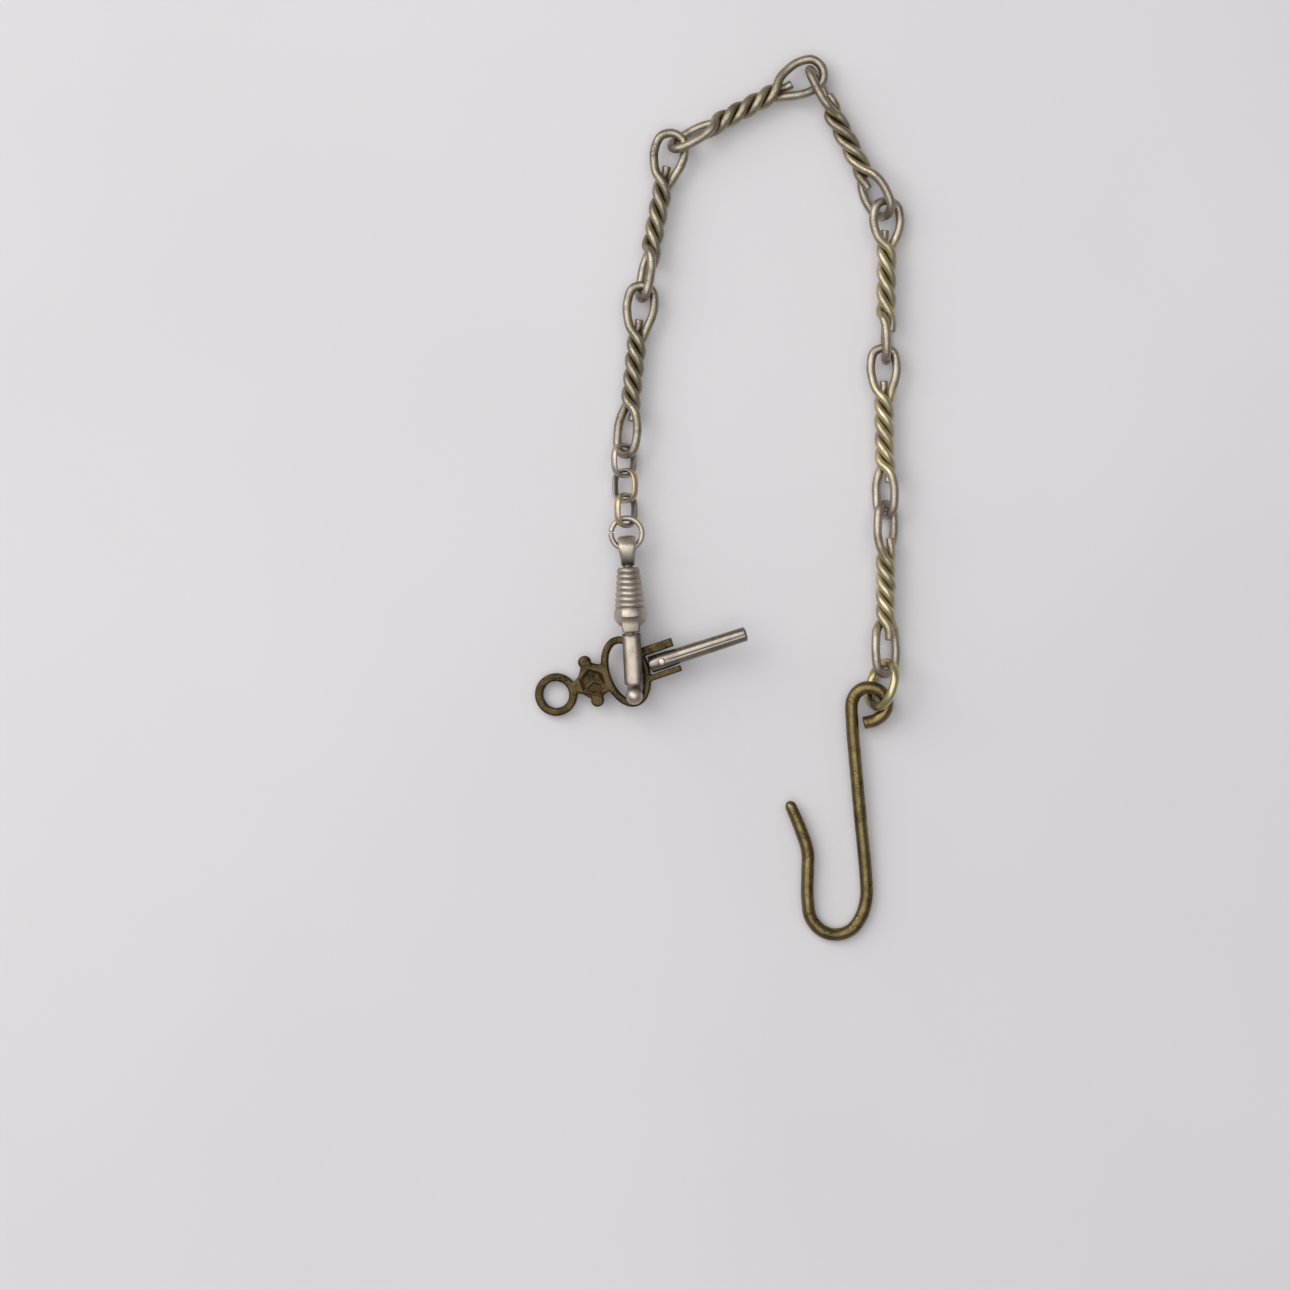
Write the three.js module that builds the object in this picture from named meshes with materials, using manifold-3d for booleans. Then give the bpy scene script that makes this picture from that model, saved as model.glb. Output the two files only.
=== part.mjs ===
// A pocket watch chain laid out on a table: a wire waistcoat hook, an oval ring, seven twisted-wire
// links, three small belcher links, a jump ring, and a swivel snap with a watch key hanging on it.
// Millimetres. X runs across the chain, Y along it towards the twisted links' far turn, Z up from
// the table, which is at Z = 0. The origin is under the middle of the whole chain.
import * as THREE from 'three';
import { mergeVertices } from 'three/addons/utils/BufferGeometryUtils.js';
import Module from 'manifold-3d';

const wasm = await Module();
wasm.setup();

// ---------------------------------------------------------------- driving dimensions

const WIRE_SIDES = 8;
const CHAIN_HEIGHT = 2.95; // middle of the twisted links above the table

// twisted links
const LINK_WIRE = 1.38;
const STEM_LENGTH = 10.3;
const STRAND_RADIUS = 0.94; // from the stem's axis to the middle of each of its three strands
const STUB_LENGTH = 3.2; // how far each cut end stands out of the stem
const LINK_STEPS = 58;

// Each twisted link runs from one outer end to the other. Roll is how far a loop is turned about the
// link's own axis, from lying flat (0) to standing on edge (90). Width is across the loop, outside.
const TWISTED_LINKS = [
  { from: [-15.6, 6.4], to: [-12.6, 35.35], fromRoll: -138, toRoll: 0, fromWidth: 5.6, toWidth: 5.8 },
  { from: [-12.95, 31.85], to: [-7.6, 60.2], fromRoll: -110, toRoll: 0, fromWidth: 5.6, toWidth: 6.3 },
  { from: [-8.5, 56.85], to: [17.2, 70.6], fromRoll: -120, toRoll: 0, fromWidth: 5.6, toWidth: 6.5 },
  { from: [27.4, 45.5], to: [14.3, 70.5], fromRoll: 50, toRoll: 105, fromWidth: 6.5, toWidth: 5.8 },
  { from: [27.0, 21.7], to: [27.2, 49.2], fromRoll: -90, toRoll: -22, fromWidth: 5.6, toWidth: 6.2 },
  { from: [27.0, -3.5], to: [26.6, 25.15], fromRoll: -131, toRoll: 0, fromWidth: 5.6, toWidth: 5.6 },
  { from: [27.0, -29.4], to: [27.0, -0.35], fromRoll: -38, toRoll: 130, fromWidth: 5.7, toWidth: 5.8 },
];

// belcher links: rounded-square rings of flattened wire
const BELCHER_LENGTH = 5.85;
const BELCHER_WIDTH = 5.7;
const BELCHER_THICKNESS = 0.8;
const BELCHER_BAND = 1.25;
const BELCHER_SQUARENESS = 2.7;
const BELCHER_LINKS = [
  { at: [-15.75, 6.1, 3.1], roll: -50 },
  { at: [-15.55, 1.98, 3.4], roll: 48 },
  { at: [-15.4, -2.05, 3.7], roll: -56 },
];

// jump ring
const JUMP_RING = { at: [-15.3, -5.85, 3.85], outer: 6.0, wire: 0.95, gapAngle: 5, cutAngle: 176, roll: 3 };

// hook ring, the oval ring between the last twisted link and the waistcoat hook
const HOOK_RING = { at: [26.35, -30.45, 3.75], length: 8.8, width: 8.4, wire: 1.45, lean: -16, roll: 62 };

// waistcoat hook
const HOOK_WIRE = 2.1;
const HOOK_TILT = 2.4; // degrees: its eye is held up by the ring
const HOOK_STEPS = 64;
const HOOK_ROUTE = [
  [23.4, -36.7], [25.4, -36.2], [26.7, -35.1], [27.2, -33.7], [26.7, -32.1], [25.3, -31.1],
  [23.7, -30.9], [22.3, -31.7], [21.5, -33.2], [21.5, -36.3], [22.2, -44.6], [23.0, -53.2],
  [23.8, -61.4], [23.9, -65.4], [23.0, -68.6], [21.3, -70.7], [19.0, -71.4], [16.7, -70.8],
  [14.9, -68.8], [14.3, -65.6], [14.3, -61.3], [14.3, -57.9], [13.5, -55.1], [12.3, -52.1],
  [11.15, -49.5],
];

// swivel snap, in its own frame: the barrel's top is the origin, the hook runs along -Y
const SNAP = { at: [-15.05, -11.4, 4.07], lean: 2.8 };
const EYE = { length: 5.25, height: 4.7, width: 2.9, band: 0.85 };
const SHANK_RADIUS = 0.8;
const SHANK_HEAD_RADIUS = 1.35;
const BARREL = { length: 6.5, topRadius: 1.84, endRadius: 2.52, ribs: 7, ribDepth: 0.17 };
const BORE_RADIUS = 1.0;
const CHAMBER_RADIUS = 1.6;
const CHAMBER = { top: -1.3, bottom: -4.6 };
const COLLAR = { length: 3.1, radius: 2.72, facets: 10 };
const LIMB_WIRE = 2.2;
const LIMB_HEIGHT = -3.0; // the fixed limb's middle below the barrel's axis
const BALL_RADIUS = 1.42;
const BALL_AT = { y: -20.9, z: 2.75 };
const GATE = { pinY: -11.75, z: 2.7, end: -19.1, width: 3.0, height: 2.1, slot: 1.7, roof: 0.33 };
const LUG = { width: 2.9, shoulder: -10.55 };
const TONGUE = { width: 0.66, offset: -0.3, radius: 0.62 };
const PIN_RADIUS = 0.3;
const PIN_HOLE_RADIUS = 0.36;
const SPRING = { radius: 0.5, wire: 0.2, turns: 1.5, offset: 0.42 };

// watch key, in its own frame: the middle of its ring is the origin, the pipe runs along +X
const KEY = { at: [-26.8, -32.1, 1.37], turn: 19, tilt: 9.6 };
const KEY_PLATE = 1.5;
const KEY_BEVEL = 0.25;
const KEY_RING = { outer: 3.5, hole: 2.2 };
const KEY_FRAME = { x: 12.2, y: -0.15, halfWidth: 3.85, halfHeight: 5.95, bar: 1.22 };
const KEY_ARMS = { reach: 21.0, upper: [1.25, 2.7], lower: [-3.0, -2.0] };
const PIPE = { start: 16.35, length: 16.5, y: -0.4, baseRadius: 1.38, tipRadius: 1.18, turn: -0.9 };
const PIPE_BORE_RADIUS = 0.72;
const TANG_RADIUS = 0.5;
const TANG_END = 19.6;
const RIVET = { x: 18.5, radius: 0.34, hole: 0.4, head: 0.6 };

// ---------------------------------------------------------------- materials

function metal(name, color, roughness, metalness = 1) {
  return new THREE.MeshStandardMaterial({ name, color, roughness, metalness });
}

const nickelSilver = metal('tarnished nickel silver', 0x9a9484, 0.38);
const paleNickel = metal('bright nickel', 0xb8b4ab, 0.26);
const antiqueBrass = metal('antique brass', 0x6d5c37, 0.4);
const paleBrass = metal('pale brass', 0xa8996c, 0.34);
const bronze = metal('dark cast bronze', 0x57462a, 0.55);
const steel = metal('polished steel', 0xc4c2bf, 0.2);
const springSteel = metal('spring steel', 0x8b8b88, 0.35);

// ---------------------------------------------------------------- shared helpers

const rad = THREE.MathUtils.degToRad;

function solid(geometry) {
  const bare = geometry.clone();
  bare.deleteAttribute('normal');
  bare.deleteAttribute('uv');
  const merged = mergeVertices(bare, 1e-4);
  return new wasm.Manifold(new wasm.Mesh({
    numProp: 3,
    vertProperties: merged.attributes.position.array,
    triVerts: new Uint32Array(merged.index.array),
  }));
}

function geometryOf(manifold) {
  const mesh = manifold.getMesh();
  const geometry = new THREE.BufferGeometry();
  geometry.setAttribute('position', new THREE.BufferAttribute(mesh.vertProperties, 3));
  geometry.setIndex(new THREE.BufferAttribute(mesh.triVerts, 1));
  geometry.computeVertexNormals();
  return geometry;
}

// Joins the first shape with the others in `add`, then cuts `remove` away.
function carved(base, { add = [], remove = [] } = {}) {
  let result = solid(base);
  for (const shape of add) {
    result = result.add(solid(shape));
  }
  for (const shape of remove) {
    result = result.subtract(solid(shape));
  }
  return geometryOf(result);
}

// A polygon with the same area as a circle, with a flat facing each of the section's axes.
function wireSection(diameter, sides) {
  const radius = (diameter / 2) * Math.sqrt((2 * Math.PI) / (sides * Math.sin((2 * Math.PI) / sides)));
  const points = [];
  for (let i = 0; i < sides; i++) {
    const angle = ((i + 0.5) / sides) * 2 * Math.PI;
    points.push(new THREE.Vector2(radius * Math.cos(angle), radius * Math.sin(angle)));
  }
  return new THREE.Shape(points);
}

function wire(points, diameter, steps, sides = WIRE_SIDES) {
  const path = new THREE.CatmullRomCurve3(points, false, 'centripetal');
  path.arcLengthDivisions = 12 * steps;
  return new THREE.ExtrudeGeometry(wireSection(diameter, sides), {
    steps,
    extrudePath: path,
    bevelEnabled: false,
  });
}

function node(name, geometry, material) {
  const mesh = new THREE.Mesh(geometry, material);
  mesh.name = name;
  return mesh;
}

function roundBar(radius, length, segments = 16) {
  return new THREE.CylinderGeometry(radius, radius, length, segments);
}

// ---------------------------------------------------------------- twisted links

// One wire makes the whole link: from a cut end up one strand, round the upper loop, down the second
// strand, round the lower loop, and up the third strand to the other cut end. The lower end is the
// upper end turned half round about an axis across the link, so both ends share these points.
// Each point is [across, off the loop's plane, distance out of the stem]. A loop that stands on edge is
// a hairpin with parallel legs, and one that lies flat is a teardrop.
function endPoints(loopRise, halfWidth, roll) {
  const strand = STRAND_RADIUS;
  const hairpin = Math.sin(roll) ** 2;
  const mix = (flat, onEdge) => THREE.MathUtils.lerp(flat, onEdge, hairpin);
  const shoulder = mix(0.62, 0.84) * halfWidth;
  const leg = mix(0.9, 1.0) * halfWidth;
  const rises = [mix(0.2, 0.15), mix(0.42, 0.35), mix(0.64, 0.6)].map((part) => part * loopRise);
  return {
    left: [
      [-shoulder, 0.55 * strand, rises[0]],
      [-leg, 0.15 * strand, rises[1]],
      [-halfWidth, 0, rises[2]],
      [-0.74 * halfWidth, 0, loopRise - 0.32 * halfWidth],
    ],
    apex: [0, 0, loopRise],
    right: [
      [0.74 * halfWidth, 0, loopRise - 0.32 * halfWidth],
      [halfWidth, 0, rises[2]],
      [leg, 0, rises[1]],
      [shoulder, -0.22 * strand, rises[0]],
    ],
    stub: [
      [-0.42 * strand, -0.95 * strand, 0.3 * STUB_LENGTH],
      [-0.06 * strand, -1.0 * strand, 0.62 * STUB_LENGTH],
      [0, -0.85 * strand, STUB_LENGTH],
    ],
  };
}

function twistedLinkPath(length, link) {
  const halfStem = STEM_LENGTH / 2;
  const loopRise = (length - LINK_WIRE) / 2 - halfStem;
  const upperRoll = rad(link.toRoll);
  const lowerRoll = rad(link.fromRoll);
  const upper = endPoints(loopRise, (link.toWidth - LINK_WIRE) / 2, upperRoll);
  const lower = endPoints(loopRise, (link.fromWidth - LINK_WIRE) / 2, lowerRoll);
  const twist = upperRoll - lowerRoll + rad(300);
  const turned = (across, off, roll, y) => new THREE.Vector3(
    across * Math.cos(roll) - off * Math.sin(roll),
    y,
    across * Math.sin(roll) + off * Math.cos(roll),
  );
  const atTop = ([across, off, out]) => turned(across, off, upperRoll, halfStem + out);
  const atBottom = ([across, off, out]) => turned(across, -off, lowerRoll, -halfStem - out);
  const strand = (startAngle) => {
    const points = [];
    const count = 9;
    for (let i = 0; i <= count; i++) {
      const angle = lowerRoll + rad(startAngle) + (twist * i) / count;
      const y = -halfStem + (STEM_LENGTH * i) / count;
      points.push(new THREE.Vector3(STRAND_RADIUS * Math.cos(angle), y, STRAND_RADIUS * Math.sin(angle)));
    }
    return points;
  };
  return [
    ...lower.stub.map(atBottom).reverse(),
    ...strand(150),
    ...upper.left.map(atTop),
    atTop(upper.apex),
    ...upper.right.map(atTop),
    ...strand(30).reverse(),
    ...lower.right.map(atBottom).reverse(),
    atBottom(lower.apex),
    ...lower.left.map(atBottom).reverse(),
    ...strand(-90),
    ...upper.stub.map(atTop),
  ];
}

function twistedLink(link, index) {
  const [x0, y0] = link.from;
  const [x1, y1] = link.to;
  const length = Math.hypot(x1 - x0, y1 - y0);
  const mesh = node(
    `twisted_link_${index + 1}`,
    wire(twistedLinkPath(length, link), LINK_WIRE, LINK_STEPS),
    nickelSilver,
  );
  mesh.position.set((x0 + x1) / 2, (y0 + y1) / 2, CHAIN_HEIGHT);
  mesh.rotation.z = Math.atan2(y1 - y0, x1 - x0) - Math.PI / 2;
  return mesh;
}

// ---------------------------------------------------------------- rings

// A closed ring bent from a torus: `squareness` 2 is an ellipse, more is a rounded rectangle.
function ovalRing(width, length, thickness, band, squareness, aroundCount, sectionCount) {
  const tube = thickness / 2;
  const geometry = new THREE.TorusGeometry(1, tube / 2, sectionCount, aroundCount);
  const position = geometry.attributes.position;
  const halfWidth = (width - thickness) / 2;
  const halfLength = (length - thickness) / 2;
  for (let i = 0; i < position.count; i++) {
    const x = position.getX(i);
    const y = position.getY(i);
    const angle = Math.atan2(y, x);
    const outward = 2 * (Math.hypot(x, y) - 1);
    const shrink = (
      Math.abs(Math.cos(angle)) ** squareness + Math.abs(Math.sin(angle)) ** squareness
    ) ** (-1 / squareness);
    const centreX = halfWidth * shrink * Math.cos(angle);
    const centreY = halfLength * shrink * Math.sin(angle);
    const normal = new THREE.Vector2(
      (Math.abs(centreX / halfWidth) ** (squareness - 1) / halfWidth) * Math.sign(centreX),
      (Math.abs(centreY / halfLength) ** (squareness - 1) / halfLength) * Math.sign(centreY),
    ).normalize();
    position.setXYZ(
      i,
      centreX + normal.x * outward,
      centreY + normal.y * outward,
      position.getZ(i) * 2 * (band / thickness),
    );
  }
  geometry.computeVertexNormals();
  return geometry;
}

function belcherLink(link, index) {
  const geometry = ovalRing(
    BELCHER_WIDTH, BELCHER_LENGTH, BELCHER_THICKNESS, BELCHER_BAND, BELCHER_SQUARENESS, 28, 8,
  );
  const mesh = node(`belcher_link_${index + 1}`, geometry, paleNickel);
  mesh.position.set(...link.at);
  mesh.rotation.y = -rad(link.roll);
  return mesh;
}

function hookRing() {
  const geometry = ovalRing(HOOK_RING.width, HOOK_RING.length, HOOK_RING.wire, HOOK_RING.wire, 2.2, 36, 8);
  geometry.rotateY(-rad(HOOK_RING.roll));
  const mesh = node('hook_ring', geometry, paleBrass);
  mesh.position.set(...HOOK_RING.at);
  mesh.rotation.z = rad(HOOK_RING.lean);
  return mesh;
}

// The jump ring is cut through once, where it was opened to put it on.
function jumpRing() {
  const radius = (JUMP_RING.outer - JUMP_RING.wire) / 2;
  const start = JUMP_RING.cutAngle + JUMP_RING.gapAngle / 2;
  const sweep = 360 - JUMP_RING.gapAngle;
  const count = 24;
  const points = [];
  for (let i = 0; i <= count; i++) {
    const angle = rad(start + (sweep * i) / count);
    points.push(new THREE.Vector3(radius * Math.cos(angle), radius * Math.sin(angle), 0));
  }
  const mesh = node('jump_ring', wire(points, JUMP_RING.wire, 30), paleNickel);
  mesh.position.set(...JUMP_RING.at);
  mesh.rotation.y = -rad(JUMP_RING.roll);
  return mesh;
}

// ---------------------------------------------------------------- waistcoat hook

function waistcoatHook() {
  const points = HOOK_ROUTE.map(([x, y]) => new THREE.Vector3(x, y, 0));
  const geometry = wire(points, HOOK_WIRE, HOOK_STEPS);
  const lowest = Math.min(...HOOK_ROUTE.map(([, y]) => y));
  geometry.translate(0, -lowest, 0);
  const mesh = node('waistcoat_hook', geometry, antiqueBrass);
  mesh.position.set(0, lowest, HOOK_WIRE / 2 + 0.03);
  mesh.rotation.x = rad(HOOK_TILT);
  return mesh;
}

// ---------------------------------------------------------------- swivel snap

// A band bent into a closed eye, on a shank whose head turns in the barrel's chamber.
function swivelEye() {
  const reach = EYE.length;
  const half = EYE.height / 2;
  const inner = half - EYE.band;
  const outline = new THREE.Shape();
  outline.moveTo(0.45, -SHANK_RADIUS);
  outline.quadraticCurveTo(0.9, -half, reach - half, -half);
  outline.absarc(reach - half, 0, half, -Math.PI / 2, Math.PI / 2, false);
  outline.quadraticCurveTo(0.9, half, 0.45, SHANK_RADIUS);
  const hole = new THREE.Path();
  hole.absarc(reach - half, 0, inner, -Math.PI / 2, Math.PI / 2, false);
  hole.lineTo(1.65, 0.75);
  hole.lineTo(1.65, -0.75);
  outline.holes.push(hole);
  const bevel = 0.22;
  const band = new THREE.ExtrudeGeometry(outline, {
    depth: EYE.width - 2 * bevel,
    bevelThickness: bevel,
    bevelSize: bevel,
    bevelOffset: -bevel,
    bevelSegments: 1,
    curveSegments: 7,
  });
  band.translate(0, 0, bevel - EYE.width / 2);
  band.rotateY(Math.PI / 2);
  band.rotateX(Math.PI / 2);
  const shankProfile = [
    [0, 1.0], [SHANK_RADIUS, 1.0], [SHANK_RADIUS, -2.2], [SHANK_HEAD_RADIUS, -2.35],
    [SHANK_HEAD_RADIUS, -3.0], [0.7, -3.4], [0, -3.4],
  ];
  const shankPoints = shankProfile.map(([r, y]) => new THREE.Vector2(r, y)).reverse();
  const shank = new THREE.LatheGeometry(shankPoints, 14);
  return node('swivel_eye', carved(shank, { add: [band] }), paleNickel);
}

// The hollow ribbed barrel and the faceted collar, turned as one closed outline.
function barrelAndCollar() {
  const outline = [[BORE_RADIUS, 0]];
  const { length, topRadius, endRadius, ribs, ribDepth } = BARREL;
  const pitch = length / ribs;
  for (let i = 0; i < ribs; i++) {
    const crest = THREE.MathUtils.lerp(topRadius, endRadius, (i + 0.5) / ribs);
    outline.push([crest - ribDepth, -pitch * i]);
    outline.push([crest, -pitch * (i + 0.3)]);
    outline.push([crest, -pitch * (i + 0.7)]);
  }
  outline.push([endRadius - ribDepth, -length]);
  outline.push([COLLAR.radius, -length - 0.38 * COLLAR.length]);
  outline.push([COLLAR.radius, -length - 0.55 * COLLAR.length]);
  outline.push([0.55 * COLLAR.radius, -length - COLLAR.length]);
  outline.push([0, -length - COLLAR.length]);
  outline.push([0, CHAMBER.bottom]);
  outline.push([CHAMBER_RADIUS, CHAMBER.bottom]);
  outline.push([CHAMBER_RADIUS, CHAMBER.top]);
  outline.push([BORE_RADIUS, CHAMBER.top]);
  outline.push([BORE_RADIUS, 0]);
  const points = outline.map(([r, y]) => new THREE.Vector2(r, y)).reverse();
  return new THREE.LatheGeometry(points, 2 * COLLAR.facets);
}

function fixedLimb() {
  const route = [
    [-8.2, -1.0], [-9.6, -2.2], [-11.4, LIMB_HEIGHT], [-13.0, LIMB_HEIGHT], [-14.5, LIMB_HEIGHT],
    [-16.0, LIMB_HEIGHT], [-17.3, LIMB_HEIGHT], [-18.85, -2.35], [-19.65, -0.9], [-20.05, 0.8],
    [BALL_AT.y + 0.2, BALL_AT.z],
  ];
  return wire(route.map(([y, z]) => new THREE.Vector3(0, y, z)), LIMB_WIRE, 24);
}

function pinHole(length, radius) {
  const hole = roundBar(radius, length, 16);
  hole.rotateZ(Math.PI / 2);
  hole.translate(0, GATE.pinY, GATE.z);
  return hole;
}

// An outline in the snap's YZ plane, given thickness across X.
function sideways(shape, width, x, bevel = 0) {
  const geometry = new THREE.ExtrudeGeometry(shape, {
    depth: width - 2 * bevel,
    bevelEnabled: bevel > 0,
    bevelThickness: bevel,
    bevelSize: bevel,
    bevelOffset: -bevel,
    bevelSegments: 2,
    curveSegments: 8,
  });
  geometry.translate(0, 0, bevel - width / 2 + x);
  geometry.rotateY(Math.PI / 2);
  geometry.rotateX(Math.PI / 2);
  return geometry;
}

// The lug under the collar, as wide as the gate.
function gateLug() {
  const half = GATE.height / 2;
  const outline = new THREE.Shape();
  outline.moveTo(-7.9, 0.5);
  outline.lineTo(-7.9, 2.2);
  outline.quadraticCurveTo(-8.6, GATE.z + half, -9.6, GATE.z + half);
  outline.lineTo(LUG.shoulder, GATE.z + half);
  outline.lineTo(LUG.shoulder, GATE.z - half);
  outline.lineTo(-9.3, 0.9);
  return sideways(outline, LUG.width, 0, 0.3);
}

// The tongue: a thin eye standing out of the lug, which the gate's two cheeks straddle.
function gateTongue() {
  const { radius, width, offset } = TONGUE;
  const outline = new THREE.Shape();
  outline.moveTo(LUG.shoulder + 0.6, GATE.z - radius);
  outline.lineTo(GATE.pinY, GATE.z - radius);
  outline.absarc(GATE.pinY, GATE.z, radius, -Math.PI / 2, -1.5 * Math.PI, true);
  outline.lineTo(LUG.shoulder + 0.6, GATE.z + radius);
  return sideways(outline, width, offset);
}

function snapBody() {
  const ball = new THREE.SphereGeometry(BALL_RADIUS, 14, 9);
  ball.translate(0, BALL_AT.y, BALL_AT.z);
  const geometry = carved(barrelAndCollar(), {
    add: [fixedLimb(), ball, gateLug(), gateTongue()],
    remove: [pinHole(6, PIN_HOLE_RADIUS)],
  });
  return node('snap_body', geometry, paleNickel);
}

// A bar rounded on top. At its hinge end it is hollowed from below to take the tongue and the spring.
function snapGate() {
  const outline = new THREE.Shape();
  const half = GATE.height / 2;
  const start = GATE.pinY;
  outline.moveTo(start, -half);
  outline.absarc(start, 0, half, -Math.PI / 2, -1.5 * Math.PI, false);
  outline.lineTo(GATE.end, half);
  outline.lineTo(GATE.end, -half + 0.35);
  outline.lineTo(GATE.end + 0.4, -half);
  const bar = sideways(outline, GATE.width, 0, 0.45);
  bar.translate(0, 0, GATE.z);
  const slotTop = half - GATE.roof;
  const slot = new THREE.BoxGeometry(GATE.slot, 3.4, 4);
  slot.translate(0, GATE.pinY + 0.45, GATE.z + slotTop - 2);
  const geometry = carved(bar, { remove: [slot, pinHole(6, PIN_HOLE_RADIUS)] });
  return node('snap_gate', geometry, paleNickel);
}

function gatePin() {
  const pin = roundBar(PIN_RADIUS, GATE.width - 0.1, 14);
  pin.rotateZ(Math.PI / 2);
  pin.translate(0, GATE.pinY, GATE.z);
  return node('gate_pin', pin, steel);
}

// A torsion coil round the pin, beside the tongue.
function gateSpring() {
  const points = [];
  const count = 16;
  const pitch = SPRING.wire + 0.07;
  for (let i = 0; i <= count; i++) {
    const angle = rad(360 * SPRING.turns) * (i / count);
    points.push(new THREE.Vector3(
      SPRING.offset + pitch * SPRING.turns * (i / count - 0.5),
      GATE.pinY + SPRING.radius * Math.cos(angle),
      GATE.z + SPRING.radius * Math.sin(angle),
    ));
  }
  return node('gate_spring', wire(points, SPRING.wire, 24, 6), springSteel);
}

// ---------------------------------------------------------------- watch key

function ellipsePath(path, x, y, halfWidth, halfHeight) {
  path.absellipse(x, y, halfWidth, halfHeight, 0, 2 * Math.PI, false, 0);
  return path;
}

function plate(shape, thickness, bevel = KEY_BEVEL) {
  const geometry = new THREE.ExtrudeGeometry(shape, {
    depth: thickness - 2 * bevel,
    bevelThickness: bevel,
    bevelSize: bevel,
    bevelOffset: -bevel,
    bevelSegments: 1,
    curveSegments: 14,
  });
  geometry.translate(0, 0, bevel - thickness / 2);
  return geometry;
}

// The leaf-shaped body between the ring and the frame, with a lobe on each side.
function keyBody() {
  const shape = new THREE.Shape();
  shape.moveTo(2.9, -1.0);
  shape.quadraticCurveTo(4.3, -1.0, 4.9, -2.1);
  shape.absarc(6.2, -3.1, 1.05, Math.PI * 0.8, Math.PI * 2.1, false);
  shape.quadraticCurveTo(8.2, -2.3, 9.3, -2.3);
  shape.lineTo(9.3, 2.3);
  shape.quadraticCurveTo(8.2, 2.4, 7.3, 3.0);
  shape.absarc(6.2, 3.5, 1.05, -Math.PI * 0.1, Math.PI * 1.2, false);
  shape.quadraticCurveTo(4.6, 1.1, 2.9, 1.0);
  return plate(shape, KEY_PLATE);
}

function keyFrame() {
  const { x, y, halfWidth, halfHeight, bar } = KEY_FRAME;
  const shape = ellipsePath(new THREE.Shape(), x, y, halfWidth, halfHeight);
  shape.holes.push(ellipsePath(new THREE.Path(), x, y, halfWidth - bar, halfHeight - bar));
  return plate(shape, KEY_PLATE);
}

function keyArm([low, high]) {
  const start = KEY_FRAME.x + KEY_FRAME.halfWidth - 1.6;
  const reach = KEY_ARMS.reach - start;
  const arm = new THREE.BoxGeometry(reach, high - low, KEY_PLATE - 0.2);
  arm.translate(start + reach / 2, (low + high) / 2, 0);
  return arm;
}

function alongPipe(geometry) {
  geometry.rotateZ(rad(PIPE.turn));
  geometry.translate(PIPE.start, PIPE.y, 0);
  return geometry;
}

function rivetHole() {
  const hole = roundBar(RIVET.hole, 6, 14);
  hole.rotateX(Math.PI / 2);
  hole.translate(RIVET.x, PIPE.y - 0.08, 0);
  return hole;
}

// The cast bow: ring, leaf, frame, two arms, and the tang that goes into the pipe.
function keyBow() {
  const ring = ellipsePath(new THREE.Shape(), 0, 0, KEY_RING.outer, KEY_RING.outer);
  ring.holes.push(ellipsePath(new THREE.Path(), 0, 0, KEY_RING.hole, KEY_RING.hole));
  const tangStart = KEY_FRAME.x + KEY_FRAME.halfWidth - 0.7;
  const tang = roundBar(TANG_RADIUS, TANG_END - tangStart, 10);
  tang.rotateZ(Math.PI / 2);
  tang.translate((tangStart + TANG_END) / 2, PIPE.y - 0.05, 0);
  const geometry = carved(plate(ring, KEY_PLATE), {
    add: [keyBody(), keyFrame(), keyArm(KEY_ARMS.upper), keyArm(KEY_ARMS.lower), tang],
    remove: [rivetHole()],
  });
  return node('key_bow', geometry, bronze);
}

// The hollow winding pipe: open at both ends, a little narrower at its tip.
function keyPipe() {
  const profile = [
    [PIPE_BORE_RADIUS, 0], [PIPE.baseRadius, 0], [PIPE.baseRadius, 3.0], [PIPE.tipRadius + 0.12, 4.2],
    [PIPE.tipRadius, PIPE.length], [PIPE_BORE_RADIUS, PIPE.length], [PIPE_BORE_RADIUS, 0],
  ];
  const tube = new THREE.LatheGeometry(profile.map(([r, y]) => new THREE.Vector2(r, y)), 20);
  tube.rotateZ(-Math.PI / 2);
  return node('key_pipe', carved(alongPipe(tube), { remove: [rivetHole()] }), steel);
}

function keyRivet() {
  const half = PIPE.baseRadius + 0.12;
  const profile = [
    [0, -half], [RIVET.radius, -half], [RIVET.radius, half - 0.02], [RIVET.head, half - 0.02],
    [RIVET.head, half + 0.12], [RIVET.head - 0.2, half + 0.26], [0, half + 0.26],
  ];
  const rivet = new THREE.LatheGeometry(profile.map(([r, y]) => new THREE.Vector2(r, y)), 14);
  rivet.rotateX(Math.PI / 2);
  rivet.translate(RIVET.x, PIPE.y - 0.08, 0);
  return node('key_rivet', rivet, steel);
}

// ---------------------------------------------------------------- assembly

const snap = new THREE.Group();
snap.position.set(...SNAP.at);
snap.rotation.z = rad(SNAP.lean);
snap.add(swivelEye(), snapBody(), snapGate(), gatePin(), gateSpring());

const key = new THREE.Group();
key.position.set(...KEY.at);
key.rotation.set(0, -rad(KEY.tilt), rad(KEY.turn), 'ZYX');
key.add(keyBow(), keyPipe(), keyRivet());

const chain = new THREE.Group();
chain.add(waistcoatHook(), hookRing());
TWISTED_LINKS.forEach((link, index) => chain.add(twistedLink(link, index)));
BELCHER_LINKS.forEach((link, index) => chain.add(belcherLink(link, index)));
chain.add(jumpRing(), snap, key);

export default chain;
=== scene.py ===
import math

import bmesh
import bpy
from mathutils import Matrix, Vector, noise


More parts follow.
